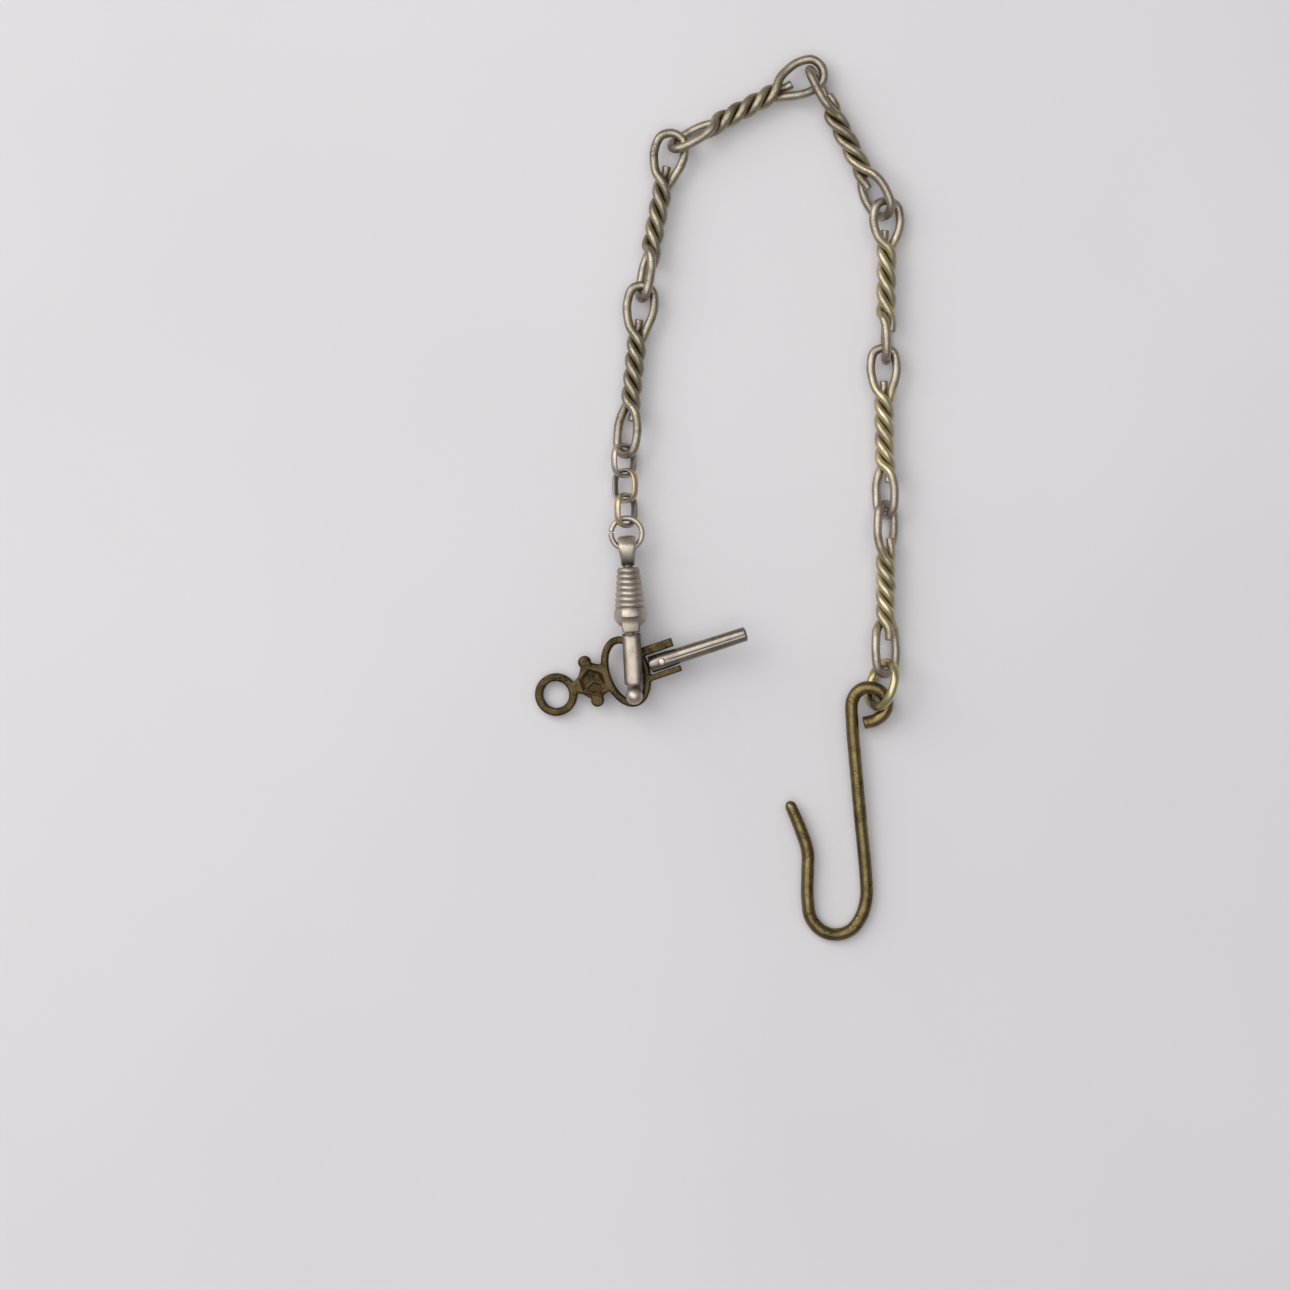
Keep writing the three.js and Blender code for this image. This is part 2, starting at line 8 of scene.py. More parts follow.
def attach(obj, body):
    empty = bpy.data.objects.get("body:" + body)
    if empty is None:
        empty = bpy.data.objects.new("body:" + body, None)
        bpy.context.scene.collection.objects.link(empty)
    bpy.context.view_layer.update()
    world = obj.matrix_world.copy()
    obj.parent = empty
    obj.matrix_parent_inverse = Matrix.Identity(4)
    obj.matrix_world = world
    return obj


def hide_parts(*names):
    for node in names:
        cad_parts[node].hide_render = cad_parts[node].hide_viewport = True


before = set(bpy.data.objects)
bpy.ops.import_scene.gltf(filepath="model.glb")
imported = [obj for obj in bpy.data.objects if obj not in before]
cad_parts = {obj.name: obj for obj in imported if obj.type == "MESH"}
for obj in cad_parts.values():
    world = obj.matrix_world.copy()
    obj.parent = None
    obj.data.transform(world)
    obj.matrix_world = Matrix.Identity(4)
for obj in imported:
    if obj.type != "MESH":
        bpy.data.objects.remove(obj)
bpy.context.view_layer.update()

# A pocket watch chain laid in a U on a table: a waistcoat hook and its ring, seven long twisted
# links, three belcher links, a cut jump ring, a swivel snap, and the watch key that hangs on it.
# Every piece is shaped in millimetres in a frame of its own, and then placed on its body.

MM = 0.001


# ---------------------------------------------------------------- materials


def linear(hex_color):
    """An sRGB colour as the linear colour that a shader takes."""
    channels = [((hex_color >> shift) & 255) / 255 for shift in (16, 8, 0)]
    return tuple(((c + 0.055) / 1.055) ** 2.4 if c > 0.04045 else c / 12.92 for c in channels) + (1.0,)


class Nodes:
    """A short way to write a material's node tree. Noise scales are in cells per metre."""

    def __init__(self, name):
        self.material = bpy.data.materials.new(name)
        self.material.use_nodes = True
        self.tree = self.material.node_tree
        self.shader = self.tree.nodes["Principled BSDF"]
        self.place = self.tree.nodes.new("ShaderNodeTexCoord").outputs["Object"]

    def link(self, value, socket):
        """Feeds a socket from another one, or sets it to a number or a colour."""
        if isinstance(value, bpy.types.NodeSocket):
            self.tree.links.new(value, socket)
        else:
            socket.default_value = value

    def noise(self, scale, detail, stretch=(1, 1, 1), roughness=0.5):
        mapping = self.tree.nodes.new("ShaderNodeMapping")
        mapping.inputs["Scale"].default_value = stretch
        self.link(self.place, mapping.inputs["Vector"])
        node = self.tree.nodes.new("ShaderNodeTexNoise")
        node.inputs["Scale"].default_value = scale
        node.inputs["Detail"].default_value = detail
        node.inputs["Roughness"].default_value = roughness
        self.link(mapping.outputs["Vector"], node.inputs["Vector"])
        return node.outputs["Fac"]

    def attribute(self, name):
        """A mark that the mesh carries at its points."""
        node = self.tree.nodes.new("ShaderNodeAttribute")
        node.attribute_name = name
        return node.outputs["Fac"]

    def ramp(self, value, low, high, to_low=0.0, to_high=1.0):
        node = self.tree.nodes.new("ShaderNodeMapRange")
        self.link(value, node.inputs["Value"])
        node.inputs["From Min"].default_value = low
        node.inputs["From Max"].default_value = high
        node.inputs["To Min"].default_value = to_low
        node.inputs["To Max"].default_value = to_high
        return node.outputs["Result"]

    def math(self, operation, a, b):
        node = self.tree.nodes.new("ShaderNodeMath")
        node.operation = operation
        node.use_clamp = operation == "ADD"  # a sum of marks stays within 0 to 1
        self.link(a, node.inputs[0])
        self.link(b, node.inputs[1])
        return node.outputs[0]

    def mix(self, factor, a, b):
        node = self.tree.nodes.new("ShaderNodeMix")
        node.data_type = "RGBA"
        factor_in, a_in, b_in, color_out = node.inputs[0], node.inputs[6], node.inputs[7], node.outputs[2]
        self.link(factor, factor_in)
        self.link(a, a_in)
        self.link(b, b_in)
        return color_out

    def bump(self, height, strength, distance, normal=None):
        node = self.tree.nodes.new("ShaderNodeBump")
        node.inputs["Strength"].default_value = strength
        node.inputs["Distance"].default_value = distance
        self.link(height, node.inputs["Height"])
        if normal is not None:
            self.link(normal, node.inputs["Normal"])
        return node.outputs["Normal"]


RUBBED = 0xADA49D


def metal(name, clean, warm, tarnish, rough, rough_tarnish, patches=0.5, dents=0.25, blotch=620,
          warm_tarnish=None):
    """Worn metal: bright on its crests, tarnished in its grooves and in patches, darker still where a
    piece's mark paints shade on it, and finely scratched.
    `patches` and `dents` are how strong they are, and `blotch` is how many patches there are to a metre."""
    n = Nodes(name)
    tarnish_and_shade = n.attribute("tarnish_and_shade")
    warmth = n.attribute("warmth")
    cloud = n.ramp(n.noise(blotch, 5), 0.36, 0.66)
    speck = n.ramp(n.noise(3200, 4, roughness=0.7), 0.4, 0.72)
    scratch = n.noise(2600, 2, stretch=(1, 0.12, 1))
    stain = n.ramp(n.noise(260, 2), 0.48, 0.68, 0.0, 0.28)
    spots = n.math("MULTIPLY", n.math("MULTIPLY", cloud, speck), patches)
    # tarnish, patches and stains, together with the painted shade that some pieces put into their mark
    dirt_and_shade = n.math("ADD", tarnish_and_shade, n.math("ADD", spots, stain))

    # the plating has worn through to yellow metal in streaks
    streak = n.ramp(n.noise(300, 3), 0.42, 0.6)
    tint = n.math("MULTIPLY", n.math("ADD", warmth, 0.18), n.ramp(streak, 0.0, 1.0, 1.0, 0.35))
    base = n.mix(tint, linear(clean), linear(warm))
    deep = n.mix(warmth, linear(tarnish), linear(warm_tarnish or tarnish))
    rubbed = n.mix(n.attribute("wear"), base, linear(RUBBED))
    n.link(n.mix(dirt_and_shade, rubbed, deep), n.shader.inputs["Base Color"])

    worn = n.ramp(dirt_and_shade, 0.0, 1.0, rough, rough_tarnish)
    n.link(n.math("ADD", worn, n.ramp(scratch, 0.4, 0.75, 0.0, 0.12)), n.shader.inputs["Roughness"])
    n.shader.inputs["Metallic"].default_value = 1.0

    # shallow dents, then scratches, then specks, each no deeper than its distance in metres
    hammered = n.bump(n.noise(430, 2), dents, 0.00012)
    marked = n.bump(scratch, 0.12, 0.00002, hammered)
    n.link(n.bump(speck, 0.1, 0.00003, marked), n.shader.inputs["Normal"])
    return n.material


METALS = {
    "nickel_silver": metal(
        "nickel silver", clean=0x98907F, warm=0xCFC19C, tarnish=0x584C3A, warm_tarnish=0x9C8E68,
        rough=0.34, rough_tarnish=0.52, patches=1.0, dents=0.5),
    "bright_nickel": metal(
        "bright nickel", clean=0xBBB2A8, warm=0xC0AA74, tarnish=0x69615A,
        rough=0.38, rough_tarnish=0.52, patches=0.5, dents=0.3),
    "antique_brass": metal(
        "antique brass", clean=0x796B4D, warm=0x88764A, tarnish=0x332A16,
        rough=0.26, rough_tarnish=0.52, patches=1.25, dents=0.35, blotch=420),
    "pale_brass": metal(
        "pale brass", clean=0xBDB491, warm=0xC0AC6C, tarnish=0x554A2C,
        rough=0.24, rough_tarnish=0.5, patches=0.6, dents=0.3),
    "dark_bronze": metal(
        "dark cast bronze", clean=0x50442F, warm=0x665536, tarnish=0x221A0E,
        rough=0.32, rough_tarnish=0.58, patches=1.4, dents=1.0, blotch=520),
    "polished_steel": metal(
        "polished steel", clean=0x8E867B, warm=0x8A8074, tarnish=0x4A4540,
        rough=0.2, rough_tarnish=0.42, patches=0.4, dents=0.12),
    "spring_steel": metal(
        "spring steel", clean=0x8A8A88, warm=0x7E7A70, tarnish=0x3A3630,
        rough=0.35, rough_tarnish=0.55),
}
RUBBED_STEEL = metal(
    "rubbed rivet", clean=0xDAD3CE, warm=0xD2CAC2, tarnish=0x5A5450,
    rough=0.4, rough_tarnish=0.5, patches=0.2, dents=0.1)


# ---------------------------------------------------------------- mesh helpers


def spline(points, closed=False, per=14):
    """A dense centripetal Catmull-Rom curve through the points, with `per` steps between each two."""
    points = [Vector(p) for p in points]
    count = len(points)
    dense = []
    for i in range(count if closed else count - 1):
        p1 = points[i]
        p2 = points[(i + 1) % count]
        p0 = points[i - 1] if closed or i > 0 else 2 * p1 - p2
        p3 = points[(i + 2) % count] if closed or i + 2 < count else 2 * p2 - p1
        d0, d1, d2 = (max((b - a).length, 1e-9) ** 0.5 for a, b in ((p0, p1), (p1, p2), (p2, p3)))
        m1 = ((p1 - p0) / d0 - (p2 - p0) / (d0 + d1) + (p2 - p1) / d1) * d1
        m2 = ((p2 - p1) / d1 - (p3 - p1) / (d1 + d2) + (p3 - p2) / d2) * d1
        for k in range(per):
            t = k / per
            from_p1 = 2 * t**3 - 3 * t**2 + 1
            from_m1 = t**3 - 2 * t**2 + t
            from_p2 = -2 * t**3 + 3 * t**2
            from_m2 = t**3 - t**2
            dense.append(from_p1 * p1 + from_m1 * m1 + from_p2 * p2 + from_m2 * m2)
    if not closed:
        dense.append(points[-1])
    return dense


def closed_mesh(name, points, faces):
    """A mesh with its normals turned outwards."""
    mesh = bpy.data.meshes.new(name)
    mesh.from_pydata(points, [], faces)
    bm = bmesh.new()
    bm.from_mesh(mesh)
    bmesh.ops.recalc_face_normals(bm, faces=bm.faces)
    bm.to_mesh(mesh)
    bm.free()
    return mesh


class Piece:
    """The points and faces of one visible piece, in millimetres, with three marks at each point: a tarnish
    mark, dark where tarnish gathers in hollows and where shade is painted in, and low down the gate's
    middle for a painted highlight; warmth, where yellow metal shows; wear, where it is rubbed bright."""

    def __init__(self):
        self.points = []
        self.faces = []
        self.marks = {"tarnish_and_shade": [], "warmth": [], "wear": []}

    def rows(self, rings, closed=False, tarnish_and_shade=None, warmth=None, wear=None):
        """Joins rings of points into a skin, capped at both ends unless it closes on itself."""
        start = len(self.points)
        sides = len(rings[0])
        for ring in rings:
            for point in ring:
                self.points.append(Vector(point))
                self.marks["tarnish_and_shade"].append(tarnish_and_shade(point) if tarnish_and_shade else 0.0)
                self.marks["warmth"].append(warmth(point) if warmth else 0.0)
                self.marks["wear"].append(wear(point) if wear else 0.0)
        count = len(rings)
        for i in range(count if closed else count - 1):
            a = start + i * sides
            b = start + ((i + 1) % count) * sides
            for j in range(sides):
                k = (j + 1) % sides
                self.faces.append((a + j, a + k, b + k, b + j))
        if not closed:
            self.faces.append(tuple(reversed(range(start, start + sides))))
            last = start + (count - 1) * sides
            self.faces.append(tuple(range(last, last + sides)))

    def add_mesh(self, mesh):
        """Takes in a mesh that is already in millimetres, with no marks."""
        start = len(self.points)
        for vertex in mesh.vertices:
            self.points.append(vertex.co.copy())
            for values in self.marks.values():
                values.append(0.0)
        self.faces += [tuple(start + i for i in polygon.vertices) for polygon in mesh.polygons]

    def move(self, matrix):
        self.points = [matrix @ p for p in self.points]

    def finish(self, name, body, slot, nodes, matrix, sharp=40, material=None):
        """Makes the object, placed by the matrix, which rides on a body and stands for the CAD nodes.
        Edges sharper than `sharp` degrees stay sharp."""
        self.move(matrix)
        mesh = closed_mesh(name, [p * MM for p in self.points], self.faces)
        mesh.shade_smooth()
        mesh.set_sharp_from_angle(angle=math.radians(sharp))
        for mark, values in self.marks.items():
            layer = mesh.attributes.new(mark, "FLOAT", "POINT")
            layer.data.foreach_set("value", values)
        mesh.materials.append(material or METALS[slot])
        obj = bpy.data.objects.new(name, mesh)
        bpy.context.scene.collection.objects.link(obj)
        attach(obj, body)
        if nodes:
            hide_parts(*nodes)


# how far in from a cut end the wire is how wide, and the angles round a ball end from its tip
CUT_END = [(0.0, 0.78), (0.04, 0.92), (0.13, 1.0)]
ROUND_END = (0.12, 0.35, 0.62, 0.9, 1.2, 1.5)


def tube_rings(path, radius, steps, sides=16, ends=("cut", "cut"), uneven=0.012, taper=None):
    """Rings of points along a path: a round wire, with cut or rounded ends. `uneven` is the part of its
    radius by which it strays from round, and `taper(t)` scales it from 0 at its start to 1 at its end."""
    lengths = [0.0]
    for a, b in zip(path, path[1:]):
        lengths.append(lengths[-1] + (b - a).length)
    total = lengths[-1]

    def end_rings(kind):
        if kind == "round":
            return [(radius * (1 - math.cos(a)), math.sin(a)) for a in ROUND_END]
        return CUT_END

    first = end_rings(ends[0])
    last = [(total - s, scale) for s, scale in reversed(end_rings(ends[1]))]
    low, high = first[-1][0], last[0][0]
    stations = first + [(low + (high - low) * i / steps, 1.0) for i in range(1, steps)] + last
    rings = []
    index = 0
    normal = None
    for s, scale in stations:
        while index < len(lengths) - 2 and lengths[index + 1] < s:
            index += 1
        span = max(lengths[index + 1] - lengths[index], 1e-9)
        t = (s - lengths[index]) / span
        centre = path[index].lerp(path[index + 1], t)
        before = path[max(index - 1, 0)]
        after = path[min(index + 2, len(path) - 1)]
        here = (path[index + 1] - before).lerp(after - path[index], t).normalized()
        if normal is None:
            normal = here.orthogonal()
        normal = (normal - here * normal.dot(here)).normalized()
        side = here.cross(normal)
        size = radius * scale * (taper(s / total) if taper else 1.0)
        ring = []
        for j in range(sides):
            angle = 2 * math.pi * j / sides
            outward = normal * math.cos(angle) + side * math.sin(angle)
            bump = 1.0 + uneven * noise.noise((centre + outward * radius) * 0.9)
            ring.append(centre + outward * size * bump)
        rings.append(ring)
    return rings


def loop_rings(outline, section):
    """Rings of points round a closed flat outline. `section(i)` gives (outward, across) points."""
    count = len(outline)
    middle = sum(outline, Vector((0, 0, 0))) / count
    rings = []
    for i, point in enumerate(outline):
        along = (outline[(i + 1) % count] - outline[i - 1]).normalized()
        outward = Vector((along.y, -along.x, 0))
        if outward.dot(point - middle) < 0:
            outward = -outward
        rings.append([point + outward * o + Vector((0, 0, w)) for o, w in section(i)])
    return rings


def round_section(radius, sides):
    angles = [2 * math.pi * j / sides for j in range(sides)]
    return [(radius * math.cos(angle), radius * math.sin(angle)) for angle in angles]


def band_section(thickness, band, power, sides=20):
    """A flattened wire's section: an ellipse at power 2, and squarer above it."""
    points = []
    for j in range(sides):
        angle = 2 * math.pi * (j + 0.5) / sides
        c, s = math.cos(angle), math.sin(angle)
        size = (abs(c) ** power + abs(s) ** power) ** (-1 / power)
        points.append((thickness / 2 * size * c, band / 2 * size * s))
    return points


def oval(width, length, squareness, count):
    """A closed flat outline: an ellipse at squareness 2, and squarer above it."""
    outline = []
    for i in range(count):
        angle = 2 * math.pi * i / count
        c, s = math.cos(angle), math.sin(angle)
        size = (abs(c) ** squareness + abs(s) ** squareness) ** (-1 / squareness)
        outline.append(Vector((width / 2 * size * c, length / 2 * size * s, 0)))
    return outline


def lathe_rings(profile, sides, radius_at=None):
    """Rings round the Y axis from (radius, y) pairs. `radius_at(angle, y)` scales the radius."""
    rings = []
    for radius, y in profile:
        ring = []
        for j in range(sides):
            angle = 2 * math.pi * (j + 0.5) / sides
            size = radius * (radius_at(angle, y) if radius_at else 1.0)
            ring.append(Vector((size * math.cos(angle), y, size * math.sin(angle))))
        rings.append(ring)
    return rings


def smoothstep(low, high, value):
    """Rises softly from 0 to 1 between low and high."""
    t = min(max((value - low) / (high - low), 0.0), 1.0)
    return t * t * (3 - 2 * t)


def placed(at, z_turn=0.0, y_turn=0.0, x_turn=0.0):
    """Turns by degrees about X, then Y, then Z, and moves to a place in millimetres."""
    return (
        Matrix.Translation(at)
        @ Matrix.Rotation(math.radians(z_turn), 4, "Z")
        @ Matrix.Rotation(math.radians(y_turn), 4, "Y")
        @ Matrix.Rotation(math.radians(x_turn), 4, "X")
    )


# ---------------------------------------------------------------- twisted links

CHAIN_HEIGHT = 2.95  # of the stems' middles above the table
LINK_WIRE = 1.38
LINK_RADIUS = LINK_WIRE / 2 + 0.035  # the bent wire swells a little past its gauge
STEM_LENGTH = 10.3
STRAND_RADIUS = 0.94  # from the stem's middle to the middle of a strand
STRAND_STEPS = 9
STEM_TWIST = 300  # degrees from end to end of a stem, where both loops have one roll
STUB_LENGTH = 3.2

# where each link runs from and to, its two loops' rolls, their widths, and how yellow its stem is
TWISTED_LINKS = [
    ((-15.6, 6.4), (-12.6, 35.35), -138, 0, 5.6, 5.8, 0.05),
    ((-12.95, 31.85), (-7.6, 60.2), -110, 0, 5.6, 6.3, 0.12),
    ((-8.5, 56.85), (17.2, 70.6), -120, 0, 5.6, 6.5, 0.15),
    ((27.4, 45.5), (14.3, 70.5), 50, 105, 6.5, 5.8, 0.2),
    ((27.0, 21.7), (27.2, 49.2), -90, -22, 5.6, 6.2, 0.9),
    ((27.0, -3.5), (26.6, 25.15), -131, 0, 5.6, 5.6, 0.9),
    ((27.0, -29.4), (27.0, -0.35), -38, 130, 5.7, 5.8, 0.95),
]


def end_points(rise, half, roll):
    """A loop's left leg, apex and right leg, and the cut stub beside it, each point as (across the loop,
    off its plane, out from the stem). A loop on edge is a hairpin, and one that lies flat a teardrop."""
    r = STRAND_RADIUS
    hairpin = math.sin(roll) ** 2
    shoulder = (0.62 + 0.22 * hairpin) * half
    leg = (0.9 + 0.1 * hairpin) * half
    low = (0.2 - 0.05 * hairpin) * rise
    middle = (0.42 - 0.07 * hairpin) * rise
    high = (0.64 - 0.04 * hairpin) * rise
    left = [
        (-shoulder, 0.55 * r, low), (-leg, 0.15 * r, middle), (-half, 0, high),
        (-0.74 * half, 0, rise - 0.32 * half),
    ]
    right = [
        (0.74 * half, 0, rise - 0.32 * half), (half, 0, high), (leg, 0, middle),
        (shoulder, -0.22 * r, low),
    ]
    stub = [
        (-0.42 * r, -0.95 * r, 0.3 * STUB_LENGTH), (-0.06 * r, -r, 0.62 * STUB_LENGTH),
        (0, -0.85 * r, STUB_LENGTH),
    ]
    return left, (0, 0, rise), right, stub


def link_path(length, from_roll, to_roll, from_width, to_width):
    """One wire, from a cut end by the lower loop to one by the upper loop. It runs up the stem, round
    the upper loop, down, round the lower loop and up again, so the stem is a rope of three strands."""
    half_stem = STEM_LENGTH / 2
    rise = (length - LINK_WIRE) / 2 - half_stem
    upper_roll = math.radians(to_roll)
    lower_roll = math.radians(from_roll)
    twist = upper_roll - lower_roll + math.radians(STEM_TWIST)

    def turned(across, off, roll, y):
        c, s = math.cos(roll), math.sin(roll)
        return Vector((across * c - off * s, y, across * s + off * c))

    def top(points):
        return [turned(a, o, upper_roll, half_stem + out) for a, o, out in points]

    def bottom(points):
        return [turned(a, -o, lower_roll, -half_stem - out) for a, o, out in points]

    def strand(start):
        points = []
        for i in range(STRAND_STEPS + 1):
            angle = lower_roll + math.radians(start) + twist * i / STRAND_STEPS
            y = -half_stem + STEM_LENGTH * i / STRAND_STEPS
            points.append(Vector((STRAND_RADIUS * math.cos(angle), y, STRAND_RADIUS * math.sin(angle))))
        return points

    left, apex, right, stub = end_points(rise, (to_width - LINK_WIRE) / 2, upper_roll)
    low_left, low_apex, low_right, low_stub = end_points(rise, (from_width - LINK_WIRE) / 2, lower_roll)
    return (
        bottom(low_stub)[::-1] + strand(150) + top(left) + top([apex]) + top(right)
        + strand(30)[::-1] + bottom(low_right)[::-1] + bottom([low_apex]) + bottom(low_left)[::-1]
        + strand(-90) + top(stub)
    )


def stem_groove(point):
    """1 deep between the strands of the stem, 0 on their crests and out on the loops."""
    half_stem = STEM_LENGTH / 2
    depth = 1 - smoothstep(STRAND_RADIUS - 0.32, STRAND_RADIUS + 0.48, math.hypot(point.x, point.z))
    on_stem = 1 - smoothstep(half_stem + 0.3, half_stem + 2.6, abs(point.y))
    return depth * on_stem


def twisted_link(name, start, end, from_roll, to_roll, from_width, to_width, yellow):
    (x0, y0), (x1, y1) = start, end
    length = math.hypot(x1 - x0, y1 - y0)
    path = spline(link_path(length, from_roll, to_roll, from_width, to_width))
    loops_from, loops_to = STEM_LENGTH / 2 + 0.6, STEM_LENGTH / 2 + 3.0

    def warmth(point):
        return yellow * (1 - 0.6 * smoothstep(5.0, 9.0, abs(point.y)))

    def wear(point):
        return (0.3 + 0.35 * yellow) * smoothstep(loops_from, loops_to, abs(point.y))

    link = Piece()
    link.rows(tube_rings(path, LINK_RADIUS, 240, uneven=0.02), tarnish_and_shade=stem_groove, warmth=warmth, wear=wear)
    at = ((x0 + x1) / 2, (y0 + y1) / 2, CHAIN_HEIGHT)
    turn = math.degrees(math.atan2(y1 - y0, x1 - x0)) - 90
    link.finish(f"{name}_wire", name, "nickel_silver", [name], placed(at, turn))


for number, sizes in enumerate(TWISTED_LINKS, 1):
    twisted_link(f"twisted_link_{number}", *sizes)


# ---------------------------------------------------------------- belcher links, jump ring, hook ring

BELCHER_WIRE = 0.8
BELCHER_WIDTH = 5.7 - BELCHER_WIRE  # to the middle of the wire
BELCHER_LENGTH = 5.85 - BELCHER_WIRE
BELCHER_SQUARENESS = 2.7
BELCHER_BAND = band_section(0.75, 1.17, 2.0)
BELCHER_LINKS = [((-15.75, 6.1, 3.1), 50), ((-15.55, 1.98, 3.4), -48), ((-15.4, -2.05, 3.7), 56)]


def inner_face_darkening(point):
    """Darker on the inner face of a belcher link."""
    across = abs(point.x / (BELCHER_WIDTH / 2)) ** BELCHER_SQUARENESS
    along = abs(point.y / (BELCHER_LENGTH / 2)) ** BELCHER_SQUARENESS
    size = (across + along) ** (1 / BELCHER_SQUARENESS)
    return 0.75 * (1 - smoothstep(0.86, 1.06, size))


def belcher_link(name, at, roll, yellow_side):
    """A flattened oval ring, more yellow down one side: 1 is its right and -1 its left."""
    outline = oval(BELCHER_WIDTH, BELCHER_LENGTH, BELCHER_SQUARENESS, 96)
    link = Piece()
    link.rows(loop_rings(outline, lambda i: BELCHER_BAND), closed=True, tarnish_and_shade=inner_face_darkening,
              warmth=lambda p: 0.5 * smoothstep(0.5, 2.5, yellow_side * p.x))
    link.finish(f"{name}_band", name, "bright_nickel", [name], placed(at, 0, roll))


for number, (at, roll) in enumerate(BELCHER_LINKS, 1):
    belcher_link(f"belcher_link_{number}", at, roll, -1 if number == 3 else 1)

JUMP_RADIUS = 2.525
JUMP_WIRE = 0.92
JUMP_START, JUMP_SWEEP = 178.5, 355  # degrees, which leave a narrow cut on the left
JUMP_STEPS = 120

jump_path = []
for i in range(JUMP_STEPS + 1):
    angle = math.radians(JUMP_START + JUMP_SWEEP * i / JUMP_STEPS)
    jump_path.append(Vector((JUMP_RADIUS * math.cos(angle), JUMP_RADIUS * math.sin(angle), 0)))
jump = Piece()
jump.rows(tube_rings(jump_path, JUMP_WIRE / 2, 110, uneven=0.01))
jump.finish("jump_ring_wire", "jump_ring", "bright_nickel", ["jump_ring"],
            placed((-15.3, -5.85, 3.85), 0, -3))

HOOK_RING_WIRE = 1.45
HOOK_RING_WIDTH = 8.4 - HOOK_RING_WIRE  # to the middle of the wire
HOOK_RING_LENGTH = 8.8 - HOOK_RING_WIRE
HOOK_RING_SECTION = round_section(0.735, 16)

hook_ring = Piece()
hook_ring_outline = oval(HOOK_RING_WIDTH, HOOK_RING_LENGTH, 2.15, 110)
hook_ring.rows(loop_rings(hook_ring_outline, lambda i: HOOK_RING_SECTION), closed=True,
               warmth=lambda p: 0.3)
hook_ring.finish("hook_ring_wire", "hook_ring", "pale_brass", ["hook_ring"],
                 placed((26.35, -30.45, 3.75), -16, -62))


# ---------------------------------------------------------------- waistcoat hook

HOOK_WIRE = 2.1
HOOK_LIFT = 0.03  # of the bend off the table
HOOK_TILT = 2.4  # the eye end is held up by its ring
# from the eye's cut end round the eye, down the shank, round the bend and up to the tip
HOOK_ROUTE = [
    (23.4, -36.7), (25.4, -36.2), (26.7, -35.1), (27.2, -33.7), (26.7, -32.1), (25.3, -31.1),
    (23.7, -30.9), (22.3, -31.7), (21.5, -33.2), (21.5, -36.3), (22.2, -44.6), (23.0, -53.2),
    (23.8, -61.4), (23.9, -65.4), (23.0, -68.6), (21.3, -70.7), (19.0, -71.4), (16.7, -70.8),
    (14.9, -68.8), (14.3, -65.6), (14.3, -61.3), (14.3, -57.9), (13.5, -55.1), (12.3, -52.1),
    (11.15, -49.5),
]
hook_bottom = min(y for _, y in HOOK_ROUTE)
hook_path = spline([(x, y - hook_bottom, 0) for x, y in HOOK_ROUTE])


def hook_taper(t):
    """The wire's width along the hook: full, and a little less at the tip."""
    return 1.0 - 0.12 * smoothstep(0.93, 1.0, t)


hook = Piece()
hook.rows(tube_rings(hook_path, HOOK_WIRE / 2, 300, 20, ("cut", "round"), 0.02, hook_taper),
          warmth=lambda p: 0.35)
hook.finish("waistcoat_hook_wire", "waistcoat_hook", "antique_brass", ["waistcoat_hook"],
            placed((0, hook_bottom, HOOK_WIRE / 2 + HOOK_LIFT), 0, 0, HOOK_TILT))


# ---------------------------------------------------------------- swivel snap

# The snap's own frame: it starts at the barrel's mouth, y runs towards the eye, and z is up.
SNAP = placed((-15.05, -11.4, 4.07), 2.8)

# -- the eye: a band bent round, which stands on edge, on a short shank
EYE_HALF = 2.35 - 0.43  # half the eye's width, to the middle of the band
EYE_CENTRE = 2.9

eye_route = [(0.62, 0), (0.95, -0.85), (1.75, -1.5)]
for degrees in range(-80, 81, 20):
    angle = math.radians(degrees)
    eye_route.append((EYE_CENTRE + EYE_HALF * math.cos(angle), EYE_HALF * math.sin(angle)))
eye_route += [(1.75, 1.5), (0.95, 0.85)]
eye_outline = spline([(along, across, 0) for along, across in eye_route], closed=True, per=9)

# the outline's x, y and z become the snap's y, z and x
ON_EDGE = Matrix(((0, 0, 1, 0), (1, 0, 0, 0), (0, 1, 0, 0), (0, 0, 0, 1)))

EYE_SHANK = [
    (0.05, 1.05), (0.78, 1.0), (0.8, 0.85), (0.8, -2.2), (1.35, -2.35), (1.35, -3.0), (0.7, -3.4),
    (0.05, -3.4),
]


def eye_section(i):
    """The band widens from the shank to the outside of the eye."""
    reach = eye_outline[i].x
    return band_section(0.85, 2.2 + 0.7 * smoothstep(0.8, 3.6, reach), 3.0)


eye = Piece()
eye.rows(loop_rings(eye_outline, eye_section), closed=True,
         tarnish_and_shade=lambda p: 0.6 * (1 - smoothstep(0.4, 2.2, p.x)))
eye.move(ON_EDGE)
eye.rows(lathe_rings(EYE_SHANK, 32), tarnish_and_shade=lambda p: 0.8)
eye.finish("swivel_eye_band", "swivel_eye", "bright_nickel", ["swivel_eye"], SNAP)

# -- the barrel: seven turned ribs on a body that widens towards the collar
BARREL_LENGTH = 6.5
RIBS = 7
RIB_DEPTH = 0.2
STEPS_PER_RIB = 10


def rib_crest(t):
    """The barrel's radius over its ribs, from 0 at its mouth to 1 at the collar."""
    return 1.84 + 0.68 * t


def rib_groove(point):
    crest = rib_crest(min(max(-point.y / BARREL_LENGTH, 0), 1))
    return 0.28 * smoothstep(0.05, 0.2, crest - math.hypot(point.x, point.z))


